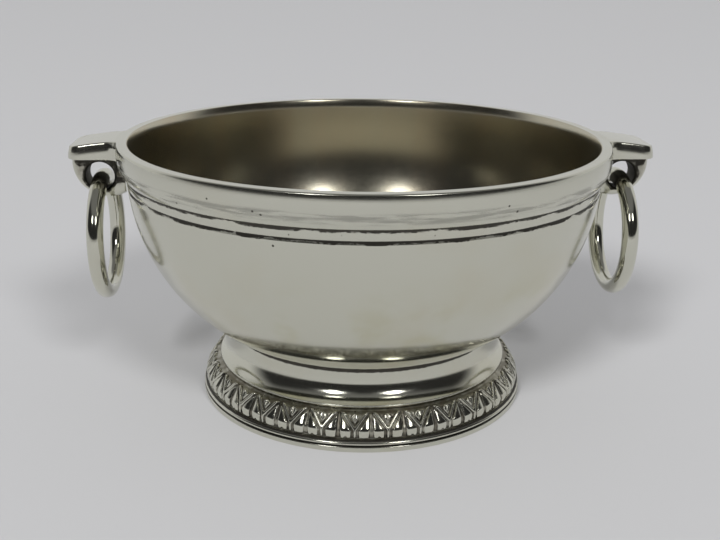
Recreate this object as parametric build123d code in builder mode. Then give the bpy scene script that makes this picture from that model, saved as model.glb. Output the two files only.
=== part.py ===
from build123d import *

import os
from math import asin, atan2, degrees, hypot, sqrt

# Pewter porringer: a footed bowl with two pierced lugs and two hanging ring handles.
# It stands on Z = 0 with its axis on Z. The lugs point along X and each ring hangs square to X.

# Bowl
rim_diameter = 125.0
total_height = 68.0
lip_width = 3.0
lip_outer_round = 1.2
lip_inner_round = 0.6
wall = 2.1

# Collar under the lip, which leans in towards the grooves
collar_round = 8.8
collar_height = 65.5
collar_bottom = 60.3

# Two turned grooves and the reed between them
groove_depth = 0.6
groove_width = 1.05
groove_rise = 0.1
reed_width = 1.5
reed_rise = 0.15
reed_swell = 0.2

# Round body: the side is one arc, and the base is a flatter arc centred on the axis
side_round = 49.3
side_centre_radius = 10.9
side_centre_height = 60.7
base_round = 100.0

# Foot: neck, flare, step, seat for the border, bead and plain edge
neck_radius = 35.2
neck_bottom = 15.8
neck_lap = 1.0
foot_wall = 2.0
step_radius = 38.6
step_height = 10.0
step_drop = 0.7
seat_ledge = 0.9
seat_wall = 1.6
base_radius = 43.2
base_edge_height = 1.5
base_rest_width = 2.6
base_rest_lean = 0.4
bead_root_radius = 42.75
bead_bulge = 0.4
bead_bottom_height = 1.6
bead_top_height = 2.75

# Leaf border seated between the step and the bead: its face has a shoulder, a slope and a knee
border_bottom = 3.0
border_foot_radius = 42.4
border_thickness = 1.5
knee_radius = 42.7
knee_height = 5.15
shoulder_radius = 40.0
shoulder_height = 9.0

# Leaves of the border: each has two pads beside a rib groove, which lean in to a pointed tip
leaf_count = 33
leaf_relief = 0.5
leaf_root = 0.4
leaf_bottom = 3.25
leaf_lean_height = 5.6
leaf_tip_height = 8.4
leaf_half_width = 3.4
leaf_rib_width = 0.85

# Lugs: a flat tongue with a rounded web and an eye under it
tongue_tip = 74.4
tongue_half_width = 8.0
tongue_bottom = 63.2
tongue_top = 67.85
tongue_tip_top = 66.0
tongue_corner = 3.5
tongue_edge_round = 1.8
tongue_root_round = 4.5
tongue_root_bite = 0.5
tongue_root = 56.0
tongue_crown_drop = 0.3
web_thickness = 7.4
web_radius = 8.9
web_centre_radius = 65.3
web_centre_height = 61.4
web_edge_round = 2.2
web_overlap = 0.5
lug_inner_radius = 61.0
eye_radius = 3.6
eye_height = 58.1
eye_mouth_round = 0.9

# Ring handles
ring_radius = 14.9
ring_wire_radius = 2.1
ring_offset = 67.2
ring_top_height = 57.1

# Solder
solder_bead_radius = 1.7
solder_bead_length = 5.0
solder_bead_offset = 61.2
foot_solder_leg = 1.8
foot_solder_reach = 2.3
foot_solder_hollow = 0.35

# Room that a cut takes past the faces it goes through
cut_margin = 1.0

# Worked-out places
rim_radius = rim_diameter / 2
lip_inner_radius = rim_radius - lip_width
side_centre = (side_centre_radius, side_centre_height)
base_centre_height = side_centre_height + sqrt((base_round - side_round) ** 2 - side_centre_radius**2)
base_centre = (0, base_centre_height)
join_angle = degrees(atan2(side_centre_height - base_centre_height, side_centre_radius))


def side_radius_at(height):
    """Radius of the bowl's outside on its side arc."""
    return side_centre_radius + sqrt(side_round**2 - (side_centre_height - height) ** 2)


def side_height_at(radius):
    """Height of the bowl's outside on its side arc."""
    return side_centre_height - sqrt(side_round**2 - (radius - side_centre_radius) ** 2)


def collar_radius_at(height):
    """Radius of the bowl's outside on the collar."""
    return rim_radius - collar_round + sqrt(collar_round**2 - (collar_height - height) ** 2)


def halfway(start, end, shift):
    """Point midway between two points of a section, moved outwards by shift."""
    return ((start[0] + end[0]) / 2 + shift, (start[1] + end[1]) / 2)


# Bowl: outside from the axis up, over the lip, and down the inside
lower_groove_bottom = collar_bottom - 2 * groove_width - reed_width
lower_groove = (side_radius_at(lower_groove_bottom), lower_groove_bottom)
reed_bottom = (lower_groove[0] + groove_rise, lower_groove_bottom + groove_width)
reed_top = (reed_bottom[0] + reed_rise, reed_bottom[1] + reed_width)
side_end_angle = -degrees(asin((side_centre_height - lower_groove_bottom) / side_round))
collar_centre = (rim_radius - collar_round, collar_height)
collar_start = (collar_radius_at(collar_bottom), collar_bottom)
collar_angle = degrees(asin((collar_height - collar_bottom) / collar_round))
lip_outer_centre = (rim_radius - lip_outer_round, total_height - lip_outer_round)
lip_inner_centre = (lip_inner_radius + lip_inner_round, total_height - lip_inner_round)
lip_inner_bottom = (lip_inner_radius, total_height - lip_inner_round)
inside_round = side_round - wall
inside_top = (side_centre_radius + inside_round, side_centre_height)
base_outside_height = base_centre_height - base_round

with BuildPart() as bowl:
    with BuildSketch(Plane.XZ):
        with BuildLine():
            CenterArc(base_centre, base_round, -90, join_angle + 90)
            CenterArc(side_centre, side_round, join_angle, side_end_angle - join_angle)
            ThreePointArc(lower_groove, halfway(lower_groove, reed_bottom, -groove_depth), reed_bottom)
            ThreePointArc(reed_bottom, halfway(reed_bottom, reed_top, reed_swell), reed_top)
            ThreePointArc(reed_top, halfway(reed_top, collar_start, -groove_depth), collar_start)
            CenterArc(collar_centre, collar_round, -collar_angle, collar_angle)
            Line((rim_radius, collar_height), (rim_radius, lip_outer_centre[1]))
            CenterArc(lip_outer_centre, lip_outer_round, 0, 90)
            Line((lip_outer_centre[0], total_height), (lip_inner_centre[0], total_height))
            CenterArc(lip_inner_centre, lip_inner_round, 90, 90)
            TangentArc(inside_top, lip_inner_bottom, tangent=(0, 1))
            CenterArc(side_centre, inside_round, 0, join_angle)
            CenterArc(base_centre, base_round - wall, join_angle, -90 - join_angle)
            Line((0, base_outside_height + wall), (0, base_outside_height))
        make_face()
    revolve(axis=Axis.Z)
bowl.part.label = "bowl"

# Foot: a hollow trumpet, closed at the top by the bowl's underside
flare_rise = neck_bottom - step_height
flare_run = step_radius - neck_radius
flare_round = hypot(flare_rise, flare_run) ** 2 / (2 * flare_run)
flare_angle = degrees(asin(flare_rise / flare_round))
step_foot = step_height - step_drop
seat_top = (step_radius - seat_ledge, step_foot)
seat_bottom = (border_foot_radius - border_thickness, border_bottom)
bead_bottom = (bead_root_radius, bead_bottom_height)
bead_top = (bead_root_radius, bead_top_height)
neck_inside = neck_radius - foot_wall
neck_top = side_height_at(neck_radius) + neck_lap
rest_inside = base_radius - base_rest_width
flare_inside = (seat_top[0] - seat_wall, step_foot)

with BuildPart() as foot:
    with BuildSketch(Plane.XZ):
        with BuildLine():
            Line((neck_inside, neck_top), (neck_radius, neck_top))
            Line((neck_radius, neck_top), (neck_radius, neck_bottom))
            CenterArc((neck_radius + flare_round, neck_bottom), flare_round, 180, flare_angle)
            Polyline(
                (step_radius, step_height),
                (step_radius, step_foot),
                seat_top,
                seat_bottom,
                (bead_root_radius, border_bottom),
                bead_top,
            )
            ThreePointArc(bead_top, halfway(bead_top, bead_bottom, bead_bulge), bead_bottom)
            Polyline(
                bead_bottom,
                (bead_root_radius, base_edge_height),
                (base_radius, base_edge_height),
                (base_radius, 0),
                (rest_inside, 0),
                (rest_inside - base_rest_lean, base_edge_height),
                (seat_bottom[0] - seat_wall, border_bottom),
                flare_inside,
            )
            TangentArc((neck_inside, neck_bottom), flare_inside, tangent=(0, -1))
            Line((neck_inside, neck_bottom), (neck_inside, neck_top))
        make_face()
    revolve(axis=Axis.Z)
    add(bowl.part, mode=Mode.SUBTRACT)
foot.part.label = "foot"

# Solder fillet inside the foot, between its wall and the bowl's underside
fillet_foot = (neck_inside, side_height_at(neck_inside) - foot_solder_leg)
fillet_end_radius = neck_inside - foot_solder_reach
fillet_end = (fillet_end_radius, side_height_at(fillet_end_radius))

with BuildPart() as foot_solder:
    with BuildSketch(Plane.XZ):
        with BuildLine():
            ThreePointArc(fillet_foot, halfway(fillet_foot, fillet_end, foot_solder_hollow), fillet_end)
            Polyline(fillet_end, (neck_inside, neck_top), fillet_foot)
        make_face()
    revolve(axis=Axis.Z)
    add(bowl.part, mode=Mode.SUBTRACT)
foot_solder.part.label = "foot_solder"


def border_face(inset):
    """Corners of the border's face from the top down, moved into the border by inset."""
    return (
        (step_radius - inset, step_foot),
        (shoulder_radius - inset / 2, shoulder_height - inset),
        (knee_radius - inset, knee_height - inset / 2),
        (border_foot_radius - inset, border_bottom),
    )


# Leaves of the border, first as blocks that reach out through its face
leaf_rib_side = leaf_rib_width / 2

with BuildPart() as leaf_blocks:
    with BuildSketch(Plane.XZ.offset(seat_top[0])):
        with BuildLine():
            Polyline(
                (leaf_rib_side, leaf_bottom),
                (leaf_half_width, leaf_bottom),
                (leaf_half_width, leaf_lean_height),
                (leaf_rib_side, leaf_tip_height),
                close=True,
            )
        make_face()
        mirror(about=Plane.YZ)
    leaf_pads = extrude(amount=base_radius - seat_top[0], mode=Mode.PRIVATE)
    with PolarLocations(0, leaf_count):
        add(leaf_pads)

# Leaf border: the leaves, kept where they lie in the skin of its face, on a lower ground
with BuildPart() as leaf_border:
    with BuildSketch(Plane.XZ):
        with BuildLine():
            Polyline(*border_face(0), *reversed(border_face(leaf_relief + leaf_root)), close=True)
        make_face()
    revolve(axis=Axis.Z)
    add(leaf_blocks.part, mode=Mode.INTERSECT)
    with BuildSketch(Plane.XZ):
        with BuildLine():
            Polyline(*border_face(leaf_relief), seat_bottom, seat_top, close=True)
        make_face()
    revolve(axis=Axis.Z)
leaf_border.part.label = "leaf_border"

# Tongue of a lug: its plan runs into the rim with a round at each side, and its top falls to the tip
root_centre_side = tongue_half_width + tongue_root_round
root_rim_radius = rim_radius - tongue_root_bite
root_centre_radius = sqrt((root_rim_radius + tongue_root_round) ** 2 - root_centre_side**2)
root_scale = root_rim_radius / (root_rim_radius + tongue_root_round)
root_on_rim = (root_centre_radius * root_scale, root_centre_side * root_scale)
tip_corner = (tongue_tip - tongue_corner, tongue_half_width - tongue_corner)
above_lug = total_height + cut_margin
top_start = (tongue_root - cut_margin, tongue_top)
top_end = (tongue_tip + cut_margin, tongue_tip_top)
top_middle = ((tongue_root + tongue_tip) / 2, tongue_top - tongue_crown_drop)

with BuildPart() as lug_tongue:
    with BuildSketch(Plane.XY.offset(tongue_bottom)):
        with BuildLine():
            Polyline((tongue_root, 0), (tongue_root, root_on_rim[1]), root_on_rim)
            RadiusArc(root_on_rim, (root_centre_radius, tongue_half_width), -tongue_root_round)
            Line((root_centre_radius, tongue_half_width), (tip_corner[0], tongue_half_width))
            CenterArc(tip_corner, tongue_corner, 0, 90)
            Polyline((tongue_tip, tip_corner[1]), (tongue_tip, 0), (tongue_root, 0))
        make_face()
        mirror(about=Plane.XZ)
    extrude(amount=above_lug - tongue_bottom)
    with BuildSketch(Plane.XZ):
        with BuildLine():
            ThreePointArc(top_start, top_middle, top_end)
            Polyline(top_end, (top_end[0], above_lug), (top_start[0], above_lug), top_start)
        make_face()
    extrude(amount=2 * root_centre_side, both=True, mode=Mode.SUBTRACT)
    top_edges = lug_tongue.faces().sort_by(Axis.Z)[-1].edges()
    fillet(top_edges.filter_by(lambda edge: edge.center().X > root_on_rim[0]), radius=tongue_edge_round)

# Web of a lug: a thick disc with rounded edges, cut off inside the tongue
with BuildPart() as lug_web:
    with BuildSketch(Plane.XZ):
        with Locations((web_centre_radius, web_centre_height)):
            Circle(web_radius)
    extrude(amount=web_thickness / 2, both=True)
    fillet(lug_web.edges().filter_by(GeomType.CIRCLE), radius=web_edge_round)
    split(bisect_by=Plane.XY.offset(tongue_bottom + web_overlap), keep=Keep.BOTTOM)

# Eye of a lug: a round hole along Y whose mouths flare, so that the curved ring clears it
eye_side = ring_offset + eye_radius
mouth_side = eye_side + eye_mouth_round
mouth_start = web_thickness / 2 - eye_mouth_round

with BuildPart() as lug_eye:
    with BuildSketch(Plane.XY.offset(eye_height)):
        with BuildLine():
            Line((eye_side, 0), (eye_side, mouth_start))
            CenterArc((mouth_side, mouth_start), eye_mouth_round, 90, 90)
            Polyline(
                (mouth_side, web_thickness / 2),
                (mouth_side, web_thickness),
                (ring_offset, web_thickness),
                (ring_offset, 0),
                (eye_side, 0),
            )
        make_face()
        mirror(about=Plane.XZ)
    revolve(axis=Axis((ring_offset, 0, eye_height), (0, 1, 0)))

# Lugs: cut back inside the lip, pierced, and seated on the outside of the bowl
with BuildPart() as right_lug:
    add(lug_tongue.part)
    add(lug_web.part)
    with BuildSketch():
        Circle(lug_inner_radius)
    extrude(amount=above_lug, mode=Mode.SUBTRACT)
    add(lug_eye.part, mode=Mode.SUBTRACT)
    add(bowl.part, mode=Mode.SUBTRACT)
right_lug.part.label = "right_lug"

with BuildPart() as left_lug:
    mirror(right_lug.part, about=Plane.YZ)
left_lug.part.label = "left_lug"

# Ring handles, hanging through the eyes
with BuildPart() as right_ring:
    with BuildSketch(Plane.XZ):
        with Locations((ring_offset, ring_top_height)):
            Circle(ring_wire_radius)
    revolve(axis=Axis((ring_offset, 0, ring_top_height - ring_radius), (1, 0, 0)))
right_ring.part.label = "right_ring"

with BuildPart() as left_ring:
    mirror(right_ring.part, about=Plane.YZ)
left_ring.part.label = "left_ring"

# Solder beads in the corners between each web and the bowl
bead_height = tongue_bottom - solder_bead_length / 2
bead_side = web_thickness / 2

with BuildPart() as right_lug_solder:
    with Locations(*((solder_bead_offset, side * bead_side, bead_height) for side in (-1, 1))):
        Cylinder(solder_bead_radius, solder_bead_length)
    add(lug_web.part, mode=Mode.SUBTRACT)
    add(bowl.part, mode=Mode.SUBTRACT)
right_lug_solder.part.label = "right_lug_solder"

with BuildPart() as left_lug_solder:
    mirror(right_lug_solder.part, about=Plane.YZ)
left_lug_solder.part.label = "left_lug_solder"

pieces = (
    bowl,
    foot,
    foot_solder,
    leaf_border,
    left_lug,
    right_lug,
    left_lug_solder,
    right_lug_solder,
    left_ring,
    right_ring,
)
os.makedirs("parts", exist_ok=True)
for piece in pieces:
    export_step(piece.part, f"parts/{piece.part.label}.step")
    print(piece.part.label, len(piece.part.solids()), "solids", round(piece.part.volume, 1), "mm3")
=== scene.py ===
import math
import time

import bmesh
import bpy
import numpy as np
from mathutils import Matrix, Vector, noise


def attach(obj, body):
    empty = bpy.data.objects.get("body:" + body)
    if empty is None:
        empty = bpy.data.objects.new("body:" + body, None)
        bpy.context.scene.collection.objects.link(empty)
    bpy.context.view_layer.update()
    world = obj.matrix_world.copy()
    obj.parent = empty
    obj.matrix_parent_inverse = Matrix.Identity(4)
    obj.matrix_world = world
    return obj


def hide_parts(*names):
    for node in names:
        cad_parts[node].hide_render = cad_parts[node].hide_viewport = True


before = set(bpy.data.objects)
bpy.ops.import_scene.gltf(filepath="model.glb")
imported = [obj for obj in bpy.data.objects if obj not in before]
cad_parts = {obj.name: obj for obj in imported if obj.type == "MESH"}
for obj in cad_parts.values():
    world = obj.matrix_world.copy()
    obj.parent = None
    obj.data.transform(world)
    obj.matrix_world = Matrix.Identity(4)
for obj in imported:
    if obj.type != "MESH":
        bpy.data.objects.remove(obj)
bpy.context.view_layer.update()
scene = bpy.context.scene
scene.view_settings.view_transform = "Standard"
mm = 0.001
startTime = time.time()


def report(*words):
    print(f"{time.time() - startTime:6.1f} s", *words, flush=True)


report("frame loaded:", len(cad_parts), "nodes")


class Wire:  # a socket of a node tree: maths on it adds Math nodes
    def __init__(self, tree, socket=None):
        self.tree = tree
        self.socket = socket

    def node(self, kind, settings=None, sockets=None, output=0):
        made = self.tree.nodes.new(kind)
        for key, value in (settings or {}).items():
            setattr(made, key, value)
        for key, value in (sockets or {}).items():
            if isinstance(value, Wire):
                self.tree.links.new(value.socket, made.inputs[key])
            else:
                made.inputs[key].default_value = value
        return Wire(self.tree, made.outputs[output]) if made.outputs else None

    def out(self, name):  # another output of the same node
        return Wire(self.tree, self.socket.node.outputs[name])

    def math(self, operation, *values):
        return self.node("ShaderNodeMath", {"operation": operation}, dict(enumerate(values)))

    def __add__(self, other):
        return self.math("ADD", self, other)

    def __radd__(self, other):
        return self.math("ADD", other, self)

    def __sub__(self, other):
        return self.math("SUBTRACT", self, other)

    def __rsub__(self, other):
        return self.math("SUBTRACT", other, self)

    def __mul__(self, other):
        return self.math("MULTIPLY", self, other)

    def __rmul__(self, other):
        return self.math("MULTIPLY", other, self)

    def __truediv__(self, other):
        return self.math("DIVIDE", self, other)

    def __rtruediv__(self, other):
        return self.math("DIVIDE", other, self)

    def step(self, low, high):  # 0 below low, 1 above high, smooth between
        return self.node("ShaderNodeMapRange", {"interpolation_type": "SMOOTHSTEP"},
                         {"Value": self, "From Min": low, "From Max": high})

    def band(self, low, high, soft):  # 1 between low and high
        return self.step(low - soft, low) * (1 - self.step(high, high + soft))

    def mixColour(self, first, second):  # self is the factor
        return self.node("ShaderNodeMix", {"data_type": "RGBA"}, {0: self, 6: first, 7: second}, 2)

    def stretch(self, amounts):  # self is a place
        return self.node("ShaderNodeVectorMath", {"operation": "MULTIPLY"}, {0: self, 1: amounts})

    def grain(self, scale, detail):  # noise at a place
        return self.node("ShaderNodeTexNoise", None,
                         {"Vector": self, "Scale": scale, "Detail": detail})

    def attribute(self, name):  # a value that the mesh carries
        return self.node("ShaderNodeAttribute", {"attribute_name": name}, output=2)


def linkObject(name, data):
    made = bpy.data.objects.new(name, data)
    scene.collection.objects.link(made)
    return made


def finishPiece(piece, node, body, material=None):
    if material:
        piece.data.materials.clear()
        piece.data.materials.append(material)
    piece.data.polygons.foreach_set("use_smooth", np.ones(len(piece.data.polygons), bool))
    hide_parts(node)
    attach(piece, body)
    report("made", piece.name, len(piece.data.polygons), "faces")


def bakeModifiers(piece):  # the evaluated shape becomes a plain mesh
    bpy.context.view_layer.update()
    graph = bpy.context.evaluated_depsgraph_get()
    mesh = bpy.data.meshes.new_from_object(piece.evaluated_get(graph))
    piece.modifiers.clear()
    piece.data = mesh
    return piece


# Sections are arrays of (radius, height) in millimetres
tiny = 1e-6


def arc(centre, radius, start, end, count):
    angles = np.radians(np.linspace(start, end, count))
    return np.stack([centre[0] + radius * np.cos(angles), centre[1] + radius * np.sin(angles)], 1)


def pointAt(centre, radius, angle):
    return arc(centre, radius, angle, angle, 1)[0]


def line(start, end, count):
    return np.linspace(start, end, count)


def bow(start, end, bulge, count):  # shallow curve that leaves its chord by bulge, outwards
    share = np.linspace(0, 1, count)
    points = np.outer(1 - share, start) + np.outer(share, end)
    points[:, 0] += bulge * 4 * share * (1 - share)
    return points


def distinct(points):  # False where a point repeats the one before it
    return np.concatenate([[True], np.hypot(*np.diff(points, axis=0).T) > tiny])


def joinSection(*stretches):
    points = np.concatenate(stretches)
    return points[distinct(points)]


def sectionLength(section):
    return np.concatenate([[0], np.cumsum(np.hypot(*np.diff(section, axis=0).T))])


def outwardOf(section):  # unit vectors square to a section that runs upwards
    slope = np.gradient(section, axis=0)
    return np.stack([slope[:, 1], -slope[:, 0]], 1) / np.hypot(*slope.T)[:, None]


def evenAngles(count):
    return np.linspace(0, 2 * math.pi, count, endpoint=False)


def wander(angles, waves, seed):  # slow uneven change round the axis, about -1 to 1
    draw = np.random.default_rng(seed)
    total = np.zeros_like(angles)
    for wave in waves:
        total += draw.uniform(0.5, 1) * np.sin(wave * angles + draw.uniform(0, 2 * math.pi))
    return total / len(waves)


def smooth(low, high, value):
    share = np.clip((value - low) / (high - low), 0, 1)
    return share * share * (3 - 2 * share)


# Meshes: points nearer than these, in metres, become one
mergeGap, weldGap = 2e-6, 1e-7


def setAttribute(mesh, name, values):
    values = np.ravel(values).astype(np.float32)
    mesh.attributes.new(name, "FLOAT", "POINT").data.foreach_set("value", values)


def readPoints(mesh):  # in millimetres
    points = np.empty(len(mesh.vertices) * 3, np.float32)
    mesh.vertices.foreach_get("co", points)
    return points.reshape(-1, 3) / mm


def writePoints(mesh, points):
    mesh.vertices.foreach_set("co", (points * mm).ravel())


def gridMesh(name, points, closedRows, closedColumns):  # points in rows and columns, in millimetres
    rows, columns = points.shape[:2]
    index = np.arange(rows * columns).reshape(rows, columns)
    beside, above = np.roll(index, -1, 1), np.roll(index, -1, 0)
    faces = np.stack([index, beside, np.roll(above, -1, 1), above], -1)
    faces = faces[:None if closedRows else -1, :None if closedColumns else -1]
    mesh = bpy.data.meshes.new(name)
    mesh.from_pydata((points * mm).reshape(-1, 3).tolist(), [], faces.reshape(-1, 4).tolist())
    return mesh


def latheMesh(name, radius, height, closed):  # columns run round the axis
    angles = evenAngles(radius.shape[1])
    points = np.stack([radius * np.cos(angles), radius * np.sin(angles), height], -1)
    return gridMesh(name, points, closed, True)


def mergePoints(mesh, gap):
    made = bmesh.new()
    made.from_mesh(mesh)
    bmesh.ops.remove_doubles(made, verts=made.verts, dist=gap)
    made.to_mesh(mesh)
    made.free()


def faceOutwards(mesh):
    made = bmesh.new()
    made.from_mesh(mesh)
    bmesh.ops.recalc_face_normals(made, faces=made.faces)
    made.to_mesh(mesh)
    made.free()


# Pewter: noises are (scale, detail), and a pair that ends in From is where a change starts and ends
pewterLook = {
    "colour": (0.67, 0.665, 0.575, 1.0), "roughness": 0.17,
    "warm": (0.64, 0.61, 0.49, 1.0), "warmFrom": (0.5, 0.72), "warmShare": 0.45,
    "cloud": (45.0, 4.0), "cloudRough": 0.1,
    "fine": (900.0, 3.0), "fineRough": 0.06, "fineHeight": 0.5,
    "bumpDepth": 0.0000012,
    # lines left by turning
    "turning": 2.2,   # lines per millimetre along the section
    "turningRound": 25.0, "turningNoise": (1.0, 5.0), "turningRough": 0.12,
    "turningHeight": 2.0, "turningFine": 0.3, "turningWorn": 0.85,
    "anisotropy": 0.35,
    # inside of the bowl, with warm vertical streaks of painted reflection in its colour
    "inside": (0.6, 0.57, 0.455, 1.0), "insideRough": 0.045,
    "insideWarmReflection": (0.62, 0.55, 0.42, 1.0), "insideWarmReflectionFrom": (0.4, 0.7),
    "streaks": (70.0, 70.0, 7.0), "streakNoise": (1.0, 4.0), "streakRough": 0.04,
    # rubbed bright low on the outside
    "polishedSoft": 6.0, "polish": 0.75,
    # dull castings
    "torn": (420.0, 5.0), "dullFrom": (0.35, 0.6), "dullLeast": 0.55, "dullRough": 0.25,
    "lumps": (420.0, 6.0), "lumpRough": 0.1,
    # dark patina and painted crease shade: how ragged its edge is, and how much metal shows through its
    # thin fringe
    "dark": (0.075, 0.07, 0.06, 1.0), "darkFrom": (0.35, 0.6), "darkRough": 0.3,
    "tear": 1.2, "tearFine": 0.4, "tearFrom": (0.02, 0.3),
    "fringe": 0.5, "fringeFrom": (0.75, 1.0), "fringeFineFrom": (0.38, 0.58),
}

# Marks of use on the bowl's outside, in millimetres
bowlWear = {
    "scuffLow": 61.9, "scuffHigh": 63.5, "scuffSoft": 0.8,
    "scuffDrawn": (110.0, 110.0, 1300.0), "scuffNoise": (1.0, 6.0), "scuffFrom": (0.4, 0.62),
    "scuffDark": (0.3, 0.295, 0.26, 1.0), "scuffShare": 0.6, "scuffRough": 0.2,
    "stain": (0.6, 0.58, 0.43, 1.0), "stainShare": 0.8, "stainTop": (30.0, 52.0),
    "stainNoise": (60.0, 3.0), "stainFrom": (0.5, 0.66),
    "pitRagged": 0.5, "pitFrom": (0.3, 0.6),   # the second as shares of a pit's size
    "pits": (  # centre and size
        ((-20.7, -57.1, 59.4), 0.7), ((-19.8, -57.3, 58.9), 0.6), ((-18.8, -57.5, 58.4), 0.5),
        ((-8.1, -60.0, 58.95), 0.6), ((11.1, -59.5, 58.6), 0.55), ((26.6, -56.4, 64.0), 0.6),
        ((28.7, -54.9, 62.4), 0.55), ((-22.0, -55.8, 55.6), 0.55), ((-26.0, -56.5, 63.2), 0.65),
        ((-24.3, -57.0, 62.6), 0.5), ((-42.7, -44.5, 61.8), 0.5), ((-35.6, -51.3, 64.5), 0.5),
    ),
}


def wearMarks(place, up, fine, outer, colour, roughness):
    wear = bowlWear
    dashes = place.stretch(wear["scuffDrawn"]).grain(*wear["scuffNoise"]).step(*wear["scuffFrom"])
    collar = up.band(wear["scuffLow"] * mm, wear["scuffHigh"] * mm, wear["scuffSoft"] * mm)
    scuff = outer * collar * dashes
    spots = place.grain(*wear["stainNoise"]).step(*wear["stainFrom"])
    low = outer * (1 - up.step(*(height * mm for height in wear["stainTop"])))
    colour = (low * spots * wear["stainShare"]).mixColour(colour, wear["stain"])
    colour = (scuff * wear["scuffShare"]).mixColour(colour, wear["scuffDark"])
    ragged = (fine - 0.5) * (wear["pitRagged"] * mm)
    dark = None
    for centre, size in wear["pits"]:
        away = place.node("ShaderNodeVectorMath", {"operation": "DISTANCE"},
                          {0: place, 1: [value * mm for value in centre]}, 1) + ragged
        pit = 1 - away.step(*(share * size * mm for share in wear["pitFrom"]))
        dark = pit if dark is None else dark.math("MAXIMUM", dark, pit)
    return dark.mixColour(colour, pewterLook["dark"]), roughness + scuff * wear["scuffRough"]


def newMaterial(name):
    material = bpy.data.materials.new(name)
    material.use_nodes = True
    tree = material.node_tree
    tree.nodes.clear()
    skin = tree.nodes.new("ShaderNodeBsdfPrincipled")
    end = tree.nodes.new("ShaderNodeOutputMaterial")
    tree.links.new(skin.outputs[0], end.inputs[0])
    return material, skin


def feed(wire, skin, name):
    wire.tree.links.new(wire.socket, skin.inputs[name])


def pewterSkin(name, look, turned=False, crevices=False, worn=False, cast=0.0):
    look = {**pewterLook, **look}
    material, skin = newMaterial(name)
    start = Wire(material.node_tree)
    place = start.node("ShaderNodeTexCoord", output=3)
    cloud = place.grain(*look["cloud"])
    fine = place.grain(*look["fine"])
    warmth = cloud.step(*look["warmFrom"]) * look["warmShare"]
    colour = warmth.mixColour(look["colour"], look["warm"])
    roughness = look["roughness"] + (cloud - 0.5) * look["cloudRough"]
    roughness = roughness + (fine - 0.5) * look["fineRough"]
    height = fine * look["fineHeight"]
    if worn:
        inner = start.attribute("inner")
    if turned:
        apart = start.node("ShaderNodeSeparateXYZ", None, {0: place})
        stretched = start.node("ShaderNodeCombineXYZ", None, {
            0: apart.out("X") * look["turningRound"],
            1: apart.out("Y") * look["turningRound"],
            2: start.attribute("along") * look["turning"],
        })
        turning = stretched.grain(*look["turningNoise"])
        if worn:
            turning = 0.5 + (turning - 0.5) * (1 - inner * look["turningWorn"])
        height = height * look["turningFine"] + turning * look["turningHeight"]
        roughness = roughness + (turning - 0.5) * look["turningRough"]
    if worn:
        up = apart.out("Z")
        outer = 1 - inner
        colour, roughness = wearMarks(place, up, fine, outer, colour, roughness)
        top = look["polishedTop"]
        polished = outer * (1 - up.step((top - look["polishedSoft"]) * mm, top * mm))
        roughness = roughness * (1 - polished * look["polish"])
        # painted reflection: warm vertical streaks in the inside's colour stand in for warm streaky
        # reflections; the same streaks also vary its roughness
        streaks = place.stretch(look["streaks"]).grain(*look["streakNoise"])
        warmth = streaks.step(*look["insideWarmReflectionFrom"])
        colour = inner.mixColour(colour, warmth.mixColour(look["inside"], look["insideWarmReflection"]))
        roughness = roughness + inner * (look["insideRough"] + (streaks - 0.5) * look["streakRough"])
    if crevices:
        torn = place.grain(*look["torn"])
    if "dull" in look:
        least = look["dullLeast"]
        dull = start.attribute("dull") * (least + (1 - least) * torn.step(*look["dullFrom"]))
        colour = dull.mixColour(colour, look["dull"])
        roughness = roughness + dull * look["dullRough"]
    # painted shade and patina from the mesh's dark attribute: real patina in the bowl's grooves,
    # painted shade in the creases of the foot, the leaf border and the lugs
    if crevices:
        patinaAndShade = start.attribute("patinaAndShade")
        tear = (fine - 0.5) * look["tearFine"] + (torn - 0.5) * look["tear"]
        ragged = (patinaAndShade + tear * patinaAndShade.step(*look["tearFrom"])).step(*look["darkFrom"])
        fringe = (1 - patinaAndShade.step(*look["fringeFrom"])) * (1 - fine.step(*look["fringeFineFrom"]))
        colour = (ragged * (1 - fringe * look["fringe"])).mixColour(colour, look["dark"])
        roughness = roughness + ragged * look["darkRough"]
    if cast:
        lumps = place.grain(*look["lumps"])
        height = height + lumps * cast
        roughness = roughness + (lumps - 0.5) * look["lumpRough"]
    bump = start.node("ShaderNodeBump", None,
                      {"Strength": 1.0, "Distance": look["bumpDepth"], "Height": height})
    feed(colour, skin, "Base Color")
    feed(roughness, skin, "Roughness")
    feed(bump, skin, "Normal")
    skin.inputs["Metallic"].default_value = 1.0
    if turned:
        skin.inputs["Anisotropic"].default_value = look["anisotropy"]
    return material


# Bowl, turned: the solid's outside with finer grooves, and a thinner wall with a flared mouth
bowlSize = {
    "rim": 62.49, "height": 68.0, "lipOuter": 0.45, "lipInner": 0.3, "wall": 1.5, "bottom": 2.1,
    "mouthTurn": 3.5, "flareTurn": 20.0, "flareRound": 8.5, "upperTurn": 26.0, "upperRound": 54.0,
    "collarRound": 8.8, "collarHeight": 65.5, "collarBottom": 60.3,
    "grooveDepth": 0.24, "grooveWidth": 1.05, "grooveRise": 0.1,
    "reedWidth": 1.5, "reedRise": 0.15, "reedSwell": 0.06,
    "sideRound": 49.3, "sideCentre": (10.9, 60.7), "baseRound": 100.0,
    "wobble": 0.035, "wobbleWaves": (2, 3, 4), "wobbleSeed": 5, "wobbleFrom": 30,
    "columns": 256,
}
bowlPatina = {  # shares of a groove's width, from its foot
    "clean": 0.2, "uneven": 0.75, "soft": 0.3, "topEdge": 0.97,
    "waves": (9, 17, 26, 41), "upperSeed": 11, "lowerSeed": 12,
}
bowlLook = {"polishedTop": 27.0, "tear": 2.2}


def turnedGroove(low, high, depth):  # slopes in slowly from below, steps out sharply at the top
    share = np.concatenate([np.linspace(0, 0.8, 16), np.linspace(0.83, 1, 6)])
    points = np.outer(1 - share, low) + np.outer(share, high)
    points[:, 0] -= depth * np.interp(share, (0, 0.1, 0.8, 0.9, 1), (0, 0.06, 1, 0.9, 0))
    return points


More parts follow.
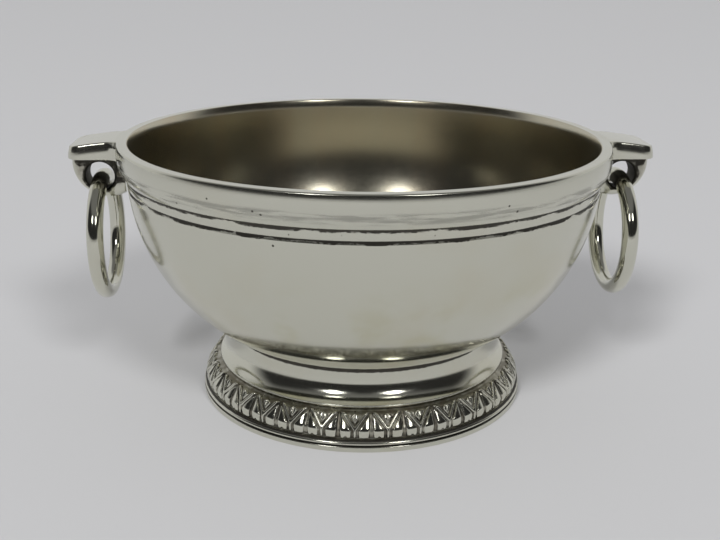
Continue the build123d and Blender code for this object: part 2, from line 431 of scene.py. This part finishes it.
def bowlSection(size):
    side = size["sideCentre"]
    sideRound = size["sideRound"]
    base = (0, side[1] + math.sqrt((size["baseRound"] - sideRound) ** 2 - side[0] ** 2))
    join = math.degrees(math.atan2(side[1] - base[1], side[0]))

    low = size["collarBottom"] - 2 * size["grooveWidth"] - size["reedWidth"]
    sideEnd = -math.degrees(math.asin((side[1] - low) / sideRound))
    grooveFoot = (side[0] + math.sqrt(sideRound ** 2 - (side[1] - low) ** 2), low)
    reedFoot = (grooveFoot[0] + size["grooveRise"], low + size["grooveWidth"])
    reedTop = (reedFoot[0] + size["reedRise"], reedFoot[1] + size["reedWidth"])

    collar = (size["rim"] - size["collarRound"], size["collarHeight"])
    collarDrop = (collar[1] - size["collarBottom"]) / size["collarRound"]
    lipGap = size["collarRound"] - size["lipOuter"]
    lipRise = (size["height"] - size["lipOuter"] - collar[1]) / lipGap
    lipAngle = math.degrees(math.asin(lipRise))
    lipOuter = pointAt(collar, lipGap, lipAngle)
    collarEdge = arc(collar, size["collarRound"], -math.degrees(math.asin(collarDrop)), lipAngle, 36)

    mouthTurn, flareEnd = size["mouthTurn"], 180 - size["flareTurn"]
    mouth = 180 - mouthTurn
    mouthFoot = pointAt(side, sideRound - size["wall"], -mouthTurn)
    lipInner = np.array([0, size["height"] - size["lipInner"]])
    flare = lipInner - pointAt((0, 0), size["flareRound"] - size["lipInner"], flareEnd)
    flareFoot = pointAt(flare, size["flareRound"], mouth)
    climb = (flareFoot[1] - mouthFoot[1]) * math.tan(math.radians(mouthTurn))
    across = mouthFoot[0] + climb - flareFoot[0]
    lipInner, flare, flareFoot = (point + (across, 0) for point in (lipInner, flare, flareFoot))

    upper = mouthFoot - pointAt((0, 0), size["upperRound"], -mouthTurn)
    lowerWay = pointAt((0, 0), 1.0, -size["upperTurn"])
    upperFoot = upper + lowerWay * size["upperRound"]
    baseInside = size["baseRound"] - size["bottom"]
    gap = upperFoot - base
    lowerRound = (baseInside ** 2 - gap @ gap) / (2 * (baseInside - gap @ lowerWay))  # meets the base
    lower = upperFoot - lowerWay * lowerRound
    joinInside = math.degrees(math.atan2(lower[1] - base[1], lower[0]))

    grooves = (turnedGroove(grooveFoot, reedFoot, size["grooveDepth"]),
               turnedGroove(reedTop, collarEdge[0], size["grooveDepth"]))
    outside = (
        arc(base, size["baseRound"], -90, join, 12),
        arc(side, sideRound, join, sideEnd, 56),
        grooves[0],
        bow(reedFoot, reedTop, size["reedSwell"], 10),
        grooves[1],
        collarEdge,
        arc(lipOuter, size["lipOuter"], lipAngle, 90, 8),
        line((lipOuter[0], size["height"]), (lipInner[0], size["height"]), 4),
    )
    inside = (
        arc(lipInner, size["lipInner"], 90, flareEnd, 8),
        arc(flare, size["flareRound"], flareEnd, mouth, 12),
        line(flareFoot, mouthFoot, 12),
        arc(upper, size["upperRound"], -mouthTurn, -size["upperTurn"], 30),
        arc(lower, lowerRound, -size["upperTurn"], joinInside, 40),
        arc(base, baseInside, joinInside, -90, 12),
    )
    share = np.concatenate([
        np.linspace(0, 1, len(stretch)) if any(stretch is groove for groove in grooves)
        else np.zeros(len(stretch)) for stretch in outside + inside
    ])
    inner = np.repeat((0.0, 1.0), [sum(len(stretch) for stretch in face) for face in (outside, inside)])
    points = np.concatenate(outside + inside)
    keep = distinct(points)
    return points[keep], share[keep], inner[keep]


def underside(radius):  # height of the bowl's outside above the foot
    centre = bowlSize["sideCentre"]
    return centre[1] - math.sqrt(bowlSize["sideRound"] ** 2 - (radius - centre[0]) ** 2)


def groovePatina(section, share, angles):  # dark from the top of each groove down, unevenly
    look = bowlPatina
    upper = section[:, 1:] > bowlSize["collarBottom"] - bowlSize["grooveWidth"]
    uneven = np.where(upper, wander(angles, look["waves"], look["upperSeed"]),
                      wander(angles, look["waves"], look["lowerSeed"]))
    clean = look["clean"] + look["uneven"] * uneven
    share = share[:, None]
    dark = smooth(clean - look["soft"], clean + look["soft"], share)
    return np.where(share > 0, dark * (1 - smooth(look["topEdge"], 1.0, share)), 0)


def makeBowl():
    size = bowlSize
    section, share, inner = bowlSection(size)
    columns = size["columns"]
    angles = evenAngles(columns)
    wobble = size["wobble"] * wander(angles, size["wobbleWaves"], size["wobbleSeed"])
    radius = section[:, :1] + np.where(section[:, :1] > size["wobbleFrom"], wobble, 0)
    height = section[:, 1:] + np.zeros(columns)
    mesh = latheMesh("bowl_turned", np.minimum(radius, size["rim"]), height, False)
    setAttribute(mesh, "along", np.repeat(sectionLength(section), columns))
    setAttribute(mesh, "patinaAndShade", groovePatina(section, share, angles))
    setAttribute(mesh, "inner", np.repeat(inner, columns))
    mergePoints(mesh, mergeGap)  # the rows on the axis become one point each
    piece = linkObject("bowl_turned", mesh)
    skin = pewterSkin("bowl_pewter", bowlLook, turned=True, crevices=True, worn=True)
    finishPiece(piece, "bowl", "vessel", skin)
    return section


# Foot: neck, flare, step, bead and plain edge, hollow below
footSize = {
    "neck": 35.2, "neckBottom": 15.8, "bury": 0.5, "wall": 2.0, "flareHollow": -0.4,
    "step": 38.6, "stepHeight": 10.0, "stepDrop": 0.7, "stepRound": 0.2, "stepSink": 0.15,
    "stepLip": 0.1, "ledge": 0.9, "seatWall": 1.6,
    "base": 43.2, "edge": 1.5, "edgeRound": 0.35, "rest": 2.6, "lean": 0.4,
    "beadRoot": 42.75, "beadBulge": 0.4, "beadBottom": 1.6, "beadTop": 2.75,
    "wobble": 0.02, "wobbleWaves": (2, 3, 5), "wobbleSeed": 21,
    "columns": 256,
}
footShadeAndPatina = {  # painted shade with patina: where the neck darkens under the bowl, and how far the dark spreads from the bead's two edges
    "neckFrom": (16.6, 17.8), "neckSkin": 0.5,
    "underBead": 0.25, "overBead": 0.35, "overBeadRise": 0.2, "beadSkin": 0.1,
}
footLook = {"roughness": 0.13, "tear": 0.15, "fringe": 0.0}
borderSize = {
    "bottom": 3.0, "foot": 42.4, "knee": (42.7, 5.15), "kneeRound": 2.5,
    "shoulder": (40.25, 9.0), "shoulderRound": 1.0, "thickness": 1.5,
    "leaves": 33, "across": 50, "up": 54, "wobble": 0.00003, "wobbleNoise": (260.0, 2.0),
}
borderLook = {"roughness": 0.13, "dull": (0.27, 0.25, 0.2, 1.0)}


def footSection(size):
    rise = size["neckBottom"] - size["stepHeight"]
    run = size["step"] - size["neck"]
    flare = math.hypot(rise, run) ** 2 / (2 * run)
    flareAngle = math.degrees(math.asin(rise / flare))
    stepFoot = size["stepHeight"] - size["stepDrop"]
    stepRound = (size["step"] - size["stepRound"], size["stepHeight"] - size["stepSink"])
    seatTop = (size["step"] - size["ledge"], stepFoot)
    seatBottom = (borderSize["foot"] - borderSize["thickness"], borderSize["bottom"])
    seatEnd = (size["beadRoot"], borderSize["bottom"])
    beadTop = (size["beadRoot"], size["beadTop"])
    beadBottom = (size["beadRoot"], size["beadBottom"])
    edge = size["edgeRound"]
    restInside = (size["base"] - size["rest"], 0)
    leanTop = (restInside[0] - size["lean"], size["edge"])
    seatInside = (seatBottom[0] - size["seatWall"], borderSize["bottom"])
    flareInside = (seatTop[0] - size["seatWall"], stepFoot)
    inside = size["neck"] - size["wall"]
    neckInside = (inside, underside(inside) + size["bury"])
    neckTop = (size["neck"], underside(size["neck"]) + size["bury"])
    return joinSection(
        line(neckInside, neckTop, 4),
        line(neckTop, (size["neck"], size["neckBottom"]), 10),
        arc((size["neck"] + flare, size["neckBottom"]), flare, 180, 180 + flareAngle, 40),
        arc(stepRound, size["stepRound"], 60, -10, 6),
        line((size["step"], stepFoot + size["stepLip"]), seatTop, 3),
        line(seatTop, seatBottom, 3),
        line(seatBottom, seatEnd, 3),
        line(seatEnd, beadTop, 3),
        bow(beadTop, beadBottom, size["beadBulge"], 16),
        line(beadBottom, (size["beadRoot"], size["edge"]), 2),
        arc((size["base"] - edge, size["edge"] - edge), edge, 90, 0, 7),
        arc((size["base"] - edge, edge), edge, 0, -90, 7),
        line((size["base"] - edge, 0), restInside, 3),
        line(restInside, leanTop, 3),
        line(leanTop, seatInside, 3),
        line(seatInside, flareInside, 4),
        bow(flareInside, (inside, size["neckBottom"]), size["flareHollow"], 14),
        line((inside, size["neckBottom"]), neckInside, 4),
    )[:-1]


def makeFoot():
    size, dark = footSize, footShadeAndPatina
    section = footSection(size)
    columns = size["columns"]
    wobble = size["wobble"] * wander(evenAngles(columns), size["wobbleWaves"], size["wobbleSeed"])
    radius = np.minimum(section[:, :1] + wobble, size["base"])
    mesh = latheMesh("foot_turned", radius, section[:, 1:] + np.zeros(columns), True)
    reach, up = section.T
    # painted shade: the neck darkens towards the bowl and thin dark lines lie along the bead's two
    # edges, in the creases where shade falls, with some patina
    outside = reach > size["neck"] - size["wall"] + dark["neckSkin"]
    neckLow, neckHigh = dark["neckFrom"]
    neck = np.clip((up - neckLow) / (neckHigh - neckLow), 0, 1) * outside
    overBead = size["beadTop"] + dark["overBeadRise"]
    bead = np.exp(-((up - size["beadBottom"]) / dark["underBead"]) ** 2)
    bead = bead + np.exp(-((up - overBead) / dark["overBead"]) ** 2)
    patinaAndShade = np.clip(neck + bead * (reach > size["beadRoot"] - dark["beadSkin"]), 0, 1)
    setAttribute(mesh, "along", np.repeat(sectionLength(section), columns))
    setAttribute(mesh, "patinaAndShade", np.repeat(patinaAndShade, columns))
    piece = linkObject("foot_turned", mesh)
    skin = pewterSkin("foot_pewter", footLook, turned=True, crevices=True)
    finishPiece(piece, "foot", "vessel", skin)


# Leaf border: one leaf as a relief, repeated round the foot by nodes; sizes on the unrolled face
leafShape = {
    "bottom": 0.3, "top": 7.35, "archStart": 2.5, "rib": 0.5, "ribTip": 0.22,
    "pad": 3.2, "padTip": 7.0, "padLift": 0.5, "padEdge": 0.2,
    "padCrown": 0.17, "padMiddle": 1.85, "padHalf": 1.35, "crownLimit": 1.2,
    "notch": 0.5, "notchSlope": 1.3,
    "frame": 3.66, "frameTip": 7.6, "frameLift": 0.42, "frameWidth": 0.85, "frameEdge": 0.2,
    "small": 1.15, "smallBottom": 3.9, "smallWide": 5.8, "smallTop": 7.2, "smallLift": 0.42,
    "smallEdge": 0.3, "smallRibFrom": (0.04, 0.2), "smallRibLift": 0.35,
    # painted crease shade along the relief's edges: the width of its lines and how dark they are
    "line": 0.24, "lineShade": 0.75, "dullFrom": (0.08, 0.3), "endDrop": 0.3,
}


def archDistance(x, s, half, tip, shape):  # distance inside a pointed arch
    rise = tip - shape["archStart"]
    slanted = (half * rise - rise * x - half * (s - shape["archStart"])) / math.hypot(half, rise)
    return np.minimum(half - x, slanted)


def leafRelief(x, s, edge, shape):  # x from the midrib, s up the face, edge the half pitch there
    across = np.abs(x)
    stand = np.minimum(s - shape["bottom"], shape["top"] - s)

    notch = shape["notch"] - shape["notchSlope"] * np.abs(x - shape["padMiddle"])
    rib = shape["rib"] + (shape["ribTip"] - shape["rib"]) * s / shape["padTip"]
    padArch = archDistance(across, s, shape["pad"], shape["padTip"], shape)
    padIn = np.minimum.reduce([padArch, across - rib, stand - np.clip(notch, 0, None)])
    limit = shape["crownLimit"]
    fall = np.clip((across - shape["padMiddle"]) / shape["padHalf"], -limit, limit) ** 2
    pad = smooth(0, shape["padEdge"], padIn) * (shape["padLift"] - shape["padCrown"] * fall)

    outside = -archDistance(across, s, shape["frame"], shape["frameTip"], shape)
    side = edge - across
    inner = shape["frameWidth"] - outside
    frameIn = np.minimum(outside, stand)
    frameIn = np.where(side < inner, frameIn, np.minimum(frameIn, inner))
    framed = smooth(0, shape["frameEdge"], frameIn) * shape["frameLift"]

    low, wide, top = shape["smallBottom"], shape["smallWide"], shape["smallTop"]
    widen = np.where(s < wide, (s - low) / (wide - low), (top - s) / (top - wide))
    smallIn = np.where(widen > 0, shape["small"] * np.clip(widen, 0, 1) - side, -1)
    ribLift = shape["smallRibLift"]
    ribbed = ribLift + (1 - ribLift) * smooth(*shape["smallRibFrom"], side)
    small = smooth(0, shape["smallEdge"], smallIn) * shape["smallLift"] * ribbed

    # painted crease shade: dark lines on the outline of each raised part, where it meets the ground
    nearest = np.min(np.abs([padIn, frameIn, smallIn]), axis=0)
    return np.maximum.reduce([pad, framed, small]), 1 - np.clip(nearest / shape["line"], 0, 1)


def roundCorner(start, corner, end, radius, count):  # arc that meets both sides of a corner
    start, corner, end = (np.array(point, float) for point in (start, corner, end))
    back = (start - corner) / np.linalg.norm(start - corner)
    ahead = (end - corner) / np.linalg.norm(end - corner)
    half = math.acos(np.clip(back @ ahead, -1, 1)) / 2
    middle = (back + ahead) / np.linalg.norm(back + ahead)
    centre = corner + middle * radius / math.sin(half)
    first = corner + back * radius / math.tan(half) - centre
    last = corner + ahead * radius / math.tan(half) - centre
    share = np.linspace(0, 1, count)[:, None]
    spread = first * (1 - share) + last * share
    return centre + spread / np.linalg.norm(spread, axis=1)[:, None] * radius


def borderFace(count):  # points up the face, evenly spaced
    size = borderSize
    bottom = (size["foot"], size["bottom"])
    top = (footSize["step"], footSize["stepHeight"] - footSize["stepDrop"])
    path = joinSection(
        line(bottom, bottom, 1),
        roundCorner(bottom, size["knee"], size["shoulder"], size["kneeRound"], 20),
        roundCorner(size["knee"], size["shoulder"], top, size["shoulderRound"], 16),
        line(top, top, 1),
    )
    length = sectionLength(path)
    s = np.linspace(0, length[-1], count)
    return np.stack([np.interp(s, length, path[:, axis]) for axis in (0, 1)], 1), s


def leafMesh():
    size, shape = borderSize, leafShape
    half = 180 / size["leaves"]
    turn = np.radians(np.linspace(-half, half, size["across"] + 1))
    face, s = borderFace(size["up"])
    outward = outwardOf(face)
    x = face[:, :1] * turn
    edge = face[:, :1] * math.radians(half) + 0 * x
    lift, outline = leafRelief(x, s[:, None] + 0 * x, edge, shape)
    ground = lift - shape["padLift"]
    ground[[0, -1]] = np.maximum(ground[[0, -1]], -shape["endDrop"])
    top = face[-1, 1]
    radius = face[:, :1] + outward[:, :1] * ground
    height = np.clip(face[:, 1:] + outward[:, 1:] * ground, size["bottom"], top)
    backTop = (footSize["step"] - footSize["ledge"], top)
    backBottom = (size["foot"] - size["thickness"], size["bottom"])
    back = np.ones((2, len(turn)))
    radius = np.concatenate([radius, back * [[backTop[0]], [backBottom[0]]]])
    height = np.concatenate([height, back * [[backTop[1]], [backBottom[1]]]])
    points = np.stack([radius * np.sin(turn), -radius * np.cos(turn), height], -1)
    mesh = gridMesh("leaf_motif", points, True, False)
    setAttribute(mesh, "dull", np.concatenate([1 - smooth(*shape["dullFrom"], lift), back]))
    setAttribute(mesh, "patinaAndShade", np.concatenate([outline * shape["lineShade"], back]))
    return mesh


def repeatTree():
    tree = bpy.data.node_groups.new("leaves_round_foot", "GeometryNodeTree")
    face = tree.interface
    face.new_socket("Geometry", in_out="INPUT", socket_type="NodeSocketGeometry")
    kinds = {"Leaves": "NodeSocketInt", "Wobble": "NodeSocketFloat", "Skin": "NodeSocketMaterial"}
    inputs = {}
    for name, kind in kinds.items():
        inputs[name] = face.new_socket(name, in_out="INPUT", socket_type=kind).identifier
    face.new_socket("Geometry", in_out="OUTPUT", socket_type="NodeSocketGeometry")
    start = Wire(tree)
    given = start.node("NodeGroupInput")
    count = given.out("Leaves")
    points = start.node("GeometryNodeMeshLine", None, {"Count": count, "Offset": (0, 0, 0)})
    turn = start.node("GeometryNodeInputIndex") * (2 * math.pi) / count
    turned = start.node("ShaderNodeCombineXYZ", None, {"Z": turn})
    leaves = start.node("GeometryNodeInstanceOnPoints", None,
                        {"Points": points, "Instance": given, "Rotation": turned})
    solid = start.node("GeometryNodeRealizeInstances", None, {0: leaves})
    joined = start.node("GeometryNodeMergeByDistance", None,
                        {"Geometry": solid, "Distance": mergeGap})
    scale, detail = borderSize["wobbleNoise"]
    rough = start.node("ShaderNodeTexNoise", None, {"Scale": scale, "Detail": detail}, 1)
    centred = start.node("ShaderNodeVectorMath", {"operation": "SUBTRACT"},
                         {0: rough, 1: (0.5, 0.5, 0.5)})
    shift = start.node("ShaderNodeVectorMath", {"operation": "SCALE"},
                       {0: centred, "Scale": given.out("Wobble")})
    moved = start.node("GeometryNodeSetPosition", None, {"Geometry": joined, "Offset": shift})
    painted = start.node("GeometryNodeSetMaterial", None,
                         {"Geometry": moved, "Material": given.out("Skin")})
    start.node("NodeGroupOutput", None, {0: painted})
    return tree, inputs


def makeBorder():
    piece = linkObject("leaf_border_cast", leafMesh())
    skin = pewterSkin("border_pewter", borderLook, crevices=True)
    tree, inputs = repeatTree()
    modifier = piece.modifiers.new("leaves", "NODES")
    modifier.node_group = tree
    modifier[inputs["Leaves"]] = borderSize["leaves"]
    modifier[inputs["Wobble"]] = borderSize["wobble"]
    modifier[inputs["Skin"]] = skin
    bakeModifiers(piece)
    finishPiece(piece, "leaf_border", "vessel")


# Rings of round wire, hanging through the eyes
ringSize = {
    "radius": 14.9, "wire": 2.1, "offset": 67.2, "top": 57.1, "round": 220, "section": 48,
    "wobble": 0.02, "wobbleWaves": (3, 5, 8), "wobbleSeed": 31,
}
ringLook = {"roughness": 0.1}


def makeRing(word, side, skin):
    size = ringSize
    around = evenAngles(size["round"])[:, None]
    section = evenAngles(size["section"])[None, :]
    uneven = wander(around, size["wobbleWaves"], size["wobbleSeed"] + side)
    wire = size["wire"] - size["wobble"] + size["wobble"] * uneven
    reach = size["radius"] + wire * np.cos(section)
    points = np.stack([
        side * size["offset"] + wire * np.sin(section) + 0 * around,
        reach * np.sin(around),
        size["top"] - size["radius"] + reach * np.cos(around),
    ], -1)
    mesh = gridMesh(word + "_ring_wire", points, True, True)
    faceOutwards(mesh)
    piece = linkObject(word + "_ring_wire", mesh)
    finishPiece(piece, word + "_ring", word + "_ring", skin)


# Lugs: the solid with its edges worn round and its tongue sharpened, let into the bowl
lugSize = {
    "voxel": 0.00015, "wear": 5, "bury": 0.45, "reach": 74.399, "root": 62.6, "rootFade": 1.5,
    "flatHalf": 4, "flatAbove": 65.6, "flatReach": (64, 72),   # points that give the top's slope
    "corner": (70.9, 4.5), "cornerRound": 3.5, "flare": (65.3, 12.5), "flareRound": 4.5,
    "topRound": 1.8, "edgeRound": 0.3, "bow": 0.62, "bowHeight": 3.2, "bowReach": 3.0,
}
lugWear = {  # up is from the tongue's bottom; the rest is from the eye's edge, the root or the web
    "tongueBottom": 63.2, "tongueEdge": 0.25, "eye": (67.2, 58.1), "eyeRadius": 3.6,
    "recessFrom": (0.2, 1.6), "underFrom": (-3.6, -1.0),
    "cornerFrom": (0.4, 2.6), "cornerUpFrom": (-8.0, -5.0),
    "web": (65.3, 61.4), "rubbedFrom": (7.0, 8.8), "rubbedUpFrom": (-0.6, 0.0),
    "dullFrom": (-9.0, -4.0), "dullShare": 0.8,
}
lugLook = {"roughness": 0.14, "dull": (0.3, 0.28, 0.23, 1.0)}
lugCast = 3.0


def castCopy(name, node, voxel, wear):
    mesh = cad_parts[node].data.copy()
    mergePoints(mesh, weldGap)
    piece = linkObject(name, mesh)
    even = piece.modifiers.new("even", "REMESH")
    even.mode = "VOXEL"
    even.voxel_size = voxel
    worn = piece.modifiers.new("worn", "SMOOTH")
    worn.factor = 0.5
    worn.iterations = wear
    return bakeModifiers(piece)


def letInto(mesh, section, depth):  # skin near the bowl's outside sinks into it, so no seam gapes
    points = readPoints(mesh)
    outward = outwardOf(section)
    flat = np.stack([np.hypot(points[:, 0], points[:, 1]), points[:, 2]], 1)
    nearest = np.array([np.argmin(((section - point) ** 2).sum(1)) for point in flat])
    away = np.sum((flat - section[nearest]) * outward[nearest], 1)
    sink = depth * (1 - smooth(0.0, depth, away))
    moved = flat - outward[nearest] * sink[:, None]
    points[:, :2] *= (moved[:, 0] / flat[:, 0])[:, None]
    points[:, 2] = moved[:, 1]
    points[:, 0] = np.clip(points[:, 0], -lugSize["reach"], lugSize["reach"])
    writePoints(mesh, points)


def sharpenTongue(mesh):  # the tongue's round top edge becomes a bowed side with a crisp edge
    size = lugSize
    points = readPoints(mesh)
    x, y, z = np.abs(points.T)
    flat = (y < size["flatHalf"]) & (z > size["flatAbove"])
    flat &= (x > size["flatReach"][0]) & (x < size["flatReach"][1])
    top = np.polyval(np.polyfit(x[flat], z[flat], 2), x)
    below = top - z

    ways = (x, y)
    corner = [np.clip(way - limit, 0, None) for way, limit in zip(ways, size["corner"])]
    corner = np.stack(corner, 1)
    cornerReach = np.hypot(*corner.T)
    bay = np.stack([limit - way for way, limit in zip(ways, size["flare"])], 1)
    bayReach = np.hypot(*bay.T)
    inBay = x < size["flare"][0]
    inset = np.where(inBay, bayReach - size["flareRound"], size["cornerRound"] - cornerReach)
    outward = np.where(inBay[:, None], bay / bayReach[:, None],
                       corner / np.maximum(cornerReach, tiny)[:, None])

    big, small = size["topRound"], size["edgeRound"]
    share = np.degrees(np.arctan2(big - below, big - inset)) / 90
    used = (share > 0) & (share < 1) & (below < big) & (inset < big) & (x > size["root"])
    edge = arc((-small, -small), small, 0, 90, 10)
    profile = joinSection(line((0, -big), edge[0], 16), edge, line(edge[-1], (-big, 0), 12))
    length = sectionLength(profile)
    place = np.clip(share, 0, 1) * length[-1]
    newInset = np.where(used, -np.interp(place, length, profile[:, 0]), inset)
    newBelow = np.where(used, -np.interp(place, length, profile[:, 1]), below)

    lean = size["bow"] * np.clip(1 - newBelow / size["bowHeight"], 0, 1) ** 2
    lean = lean * (1 - smooth(small, size["bowReach"], newInset))
    fade = smooth(0, size["rootFade"], x - size["root"])
    shift = (inset - newInset - lean) * fade
    points[:, :2] += np.sign(points[:, :2]) * outward * shift[:, None]
    points[:, 2] += (below - newBelow) * fade
    writePoints(mesh, points)


def lugShadeAndPatina(mesh):  # painted shade with patina: dark round the eye, under the tongue and in the corner at the bowl
    wear = lugWear
    x, z = np.abs(readPoints(mesh).T[[0, 2]])
    up = z - wear["tongueBottom"]
    eye = np.hypot(x - wear["eye"][0], z - wear["eye"][1]) - wear["eyeRadius"]
    web = np.hypot(x - wear["web"][0], z - wear["web"][1])
    below = smooth(0.0, wear["tongueEdge"], -up)
    recess = 1 - smooth(*wear["recessFrom"], eye)
    under = smooth(*wear["underFrom"], up)
    corner = 1 - smooth(*wear["cornerFrom"], x - lugSize["root"])
    corner = corner * smooth(*wear["cornerUpFrom"], up)
    rubbed = smooth(*wear["rubbedFrom"], web) * (1 - smooth(*wear["rubbedUpFrom"], up))
    unrubbed = below * (1 - rubbed)
    dark = np.maximum.reduce([recess, under, corner]) * unrubbed
    return dark, unrubbed * smooth(*wear["dullFrom"], up) * wear["dullShare"]


def makeLug(word, section, skin):
    piece = castCopy(word + "_lug_cast", word + "_lug", lugSize["voxel"], lugSize["wear"])
    sharpenTongue(piece.data)
    letInto(piece.data, section, lugSize["bury"])
    dark, dull = lugShadeAndPatina(piece.data)
    setAttribute(piece.data, "patinaAndShade", dark)
    setAttribute(piece.data, "dull", dull)
    finishPiece(piece, word + "_lug", "vessel", skin)


# Solder: dull and lumpy
solderSize = {"voxel": 0.00015, "wear": 4, "lumps": 0.28, "lumpScale": 900}
solderLook = {"roughness": 0.33, "colour": (0.3, 0.28, 0.24, 1.0)}
solderCast = 30.0


def makeSolder(word, skin):
    node = word + "_lug_solder"
    piece = castCopy(node + "_bead", node, solderSize["voxel"], solderSize["wear"])
    for vertex in piece.data.vertices:
        push = noise.noise(vertex.co * solderSize["lumpScale"]) * solderSize["lumps"] * mm
        vertex.co += vertex.normal * push
    finishPiece(piece, node, "vessel", skin)


footSolderSize = {
    "leg": 1.8, "reach": 2.3, "hollow": 0.35, "bury": 0.5, "columns": 256,
    "lumps": 0.1, "lumpWaves": (7, 13, 22, 31, 47), "lumpSeed": 61,
}


def makeFootSolder(skin):
    size = footSolderSize
    bury = size["bury"]
    wall = footSize["neck"] - footSize["wall"]
    low = (wall, underside(wall) - size["leg"])
    high = (wall - size["reach"], underside(wall - size["reach"]))
    highBuried = (high[0], high[1] + bury)
    wallBuried = (wall + bury, underside(wall) + bury)
    lowBuried = (wall + bury, low[1])
    shown = bow(low, high, size["hollow"], 14)
    section = joinSection(
        shown,
        line(high, highBuried, 3),
        line(highBuried, wallBuried, 6),
        line(wallBuried, lowBuried, 4),
        line(lowBuried, low, 3),
    )[:-1]
    swell = np.zeros((len(section), 1))
    swell[:len(shown), 0] = np.sin(np.linspace(0, math.pi, len(shown)))
    uneven = wander(evenAngles(size["columns"]), size["lumpWaves"], size["lumpSeed"])
    lumps = size["lumps"] * swell * uneven
    mesh = latheMesh("foot_solder_fillet", section[:, :1] - lumps, section[:, 1:] - lumps, True)
    faceOutwards(mesh)
    piece = linkObject("foot_solder_fillet", mesh)
    finishPiece(piece, "foot_solder", "vessel", skin)


bowlCurve = makeBowl()
bowlOutside = bowlCurve[:np.argmax(bowlCurve[:, 1]) + 3]  # from the base to just over the lip
makeFoot()
makeBorder()
ringSkin = pewterSkin("ring_pewter", ringLook)
for word, side in (("left", -1), ("right", 1)):
    makeRing(word, side, ringSkin)
lugSkin = pewterSkin("lug_pewter", lugLook, crevices=True, cast=lugCast)
solderSkin = pewterSkin("solder_pewter", solderLook, cast=solderCast)
for word in ("left", "right"):
    makeLug(word, bowlOutside, lugSkin)
    makeSolder(word, solderSkin)
makeFootSolder(solderSkin)
report("pieces made")

# Floor, lights and surroundings
floorLook = {"radius": 6.0, "colour": (0.585, 0.585, 0.596, 1.0), "roughness": 0.9}
roomLook = {  # brightness, and where along a direction one part of the room changes to the next
    "ambient": 0.36, "back": 0.6, "front": 0.025, "ceiling": 0.17, "horizon": 0.45,
    "frontFrom": (-0.35, 0.05), "horizonFrom": (0.04, 0.08), "ceilingFrom": (0.55, 0.8),
}
lampLook = {
    "azimuth": (-28, 25), "elevation": 37, "distance": 1.6, "target": (0, 0, 0.04),
    "size": 0.32, "radiance": 8.0,
    "spread": (1.75, 1.05), "spreadAngle": 14,   # far light from the same places evens the floor out
}


def makeFloor():
    made = bmesh.new()
    bmesh.ops.create_circle(made, cap_ends=True, segments=96, radius=floorLook["radius"])
    mesh = bpy.data.meshes.new("floor")
    made.to_mesh(mesh)
    made.free()
    floor = linkObject("floor", mesh)
    material, skin = newMaterial("floor_paper")
    skin.inputs["Base Color"].default_value = floorLook["colour"]
    skin.inputs["Roughness"].default_value = floorLook["roughness"]
    mesh.materials.append(material)


def makeRoom():
    world = bpy.data.worlds.new("studio")
    scene.world = world
    world.use_nodes = True
    tree = world.node_tree
    tree.nodes.clear()
    start = Wire(tree)
    look = roomLook
    way = start.node("ShaderNodeTexCoord").out("Generated")
    apart = start.node("ShaderNodeSeparateXYZ", None, {0: way})
    up = apart.out("Z")
    front = (0 - apart.out("Y")).step(*look["frontFrom"])
    wall = up.step(*look["horizonFrom"])
    frontLevel = look["horizon"] + wall * (look["front"] - look["horizon"])
    sides = look["back"] + front * (frontLevel - look["back"])
    level = sides + up.step(*look["ceilingFrom"]) * (look["ceiling"] - sides)
    rays = start.node("ShaderNodeLightPath")
    seen = rays.math("MAXIMUM", rays.out("Is Camera Ray"), rays.out("Is Glossy Ray"))
    seen = rays.math("MAXIMUM", seen, rays.out("Is Transmission Ray"))
    strength = look["ambient"] + seen * (level - look["ambient"])
    light = start.node("ShaderNodeBackground", None,
                       {"Color": (1.0, 1.0, 1.0, 1.0), "Strength": strength})
    start.node("ShaderNodeOutputWorld", None, {"Surface": light})


def aimLamp(name, light, place):
    made = linkObject(name, light)
    aim = (Vector(lampLook["target"]) - Vector(place)).to_track_quat("-Z", "Y")
    made.matrix_world = Matrix.Translation(place) @ aim.to_matrix().to_4x4()
    made.visible_camera = False
    return made


def makeLamps():
    look = lampLook
    climb = math.radians(look["elevation"])
    reach, up = look["distance"] * math.cos(climb), look["distance"] * math.sin(climb)
    for word, azimuth, spread in zip(("left", "right"), look["azimuth"], look["spread"]):
        turn = math.radians(azimuth)
        place = (reach * math.sin(turn), -reach * math.cos(turn), up)
        disk = bpy.data.lights.new(word + "_lamp", "AREA")
        disk.shape = "DISK"
        disk.size = look["size"]
        disk.energy = look["radiance"] * (math.pi * look["size"] / 2) ** 2
        aimLamp(word + "_lamp", disk, place)
        sun = bpy.data.lights.new(word + "_spread", "SUN")
        sun.energy = spread
        sun.angle = math.radians(look["spreadAngle"])
        aimLamp(word + "_spread", sun, place).visible_glossy = False


# Camera at the photograph's viewpoint, in millimetres and degrees
cameraSize = {
    "place": (-15.17, -247.96, 115.31), "heading": -3.336, "down": 18.68, "roll": 0.619,
    "lens": 48.675, "sensor": 36.0, "nearest": 10.0,
}


def makeCamera():
    size = cameraSize
    lens = bpy.data.cameras.new("camera")
    lens.sensor_width = size["sensor"]
    lens.lens = size["lens"]
    lens.clip_start = size["nearest"] * mm
    made = linkObject("camera", lens)
    heading = Matrix.Rotation(math.radians(size["heading"]), 4, "Z")
    tilt = Matrix.Rotation(math.radians(90 - size["down"]), 4, "X")
    roll = Matrix.Rotation(math.radians(size["roll"]), 4, "Z")
    made.matrix_world = Matrix.Translation(Vector(size["place"]) * mm) @ heading @ tilt @ roll
    scene.camera = made


makeFloor()
makeRoom()
makeLamps()
makeCamera()
report("floor, lights and camera set")
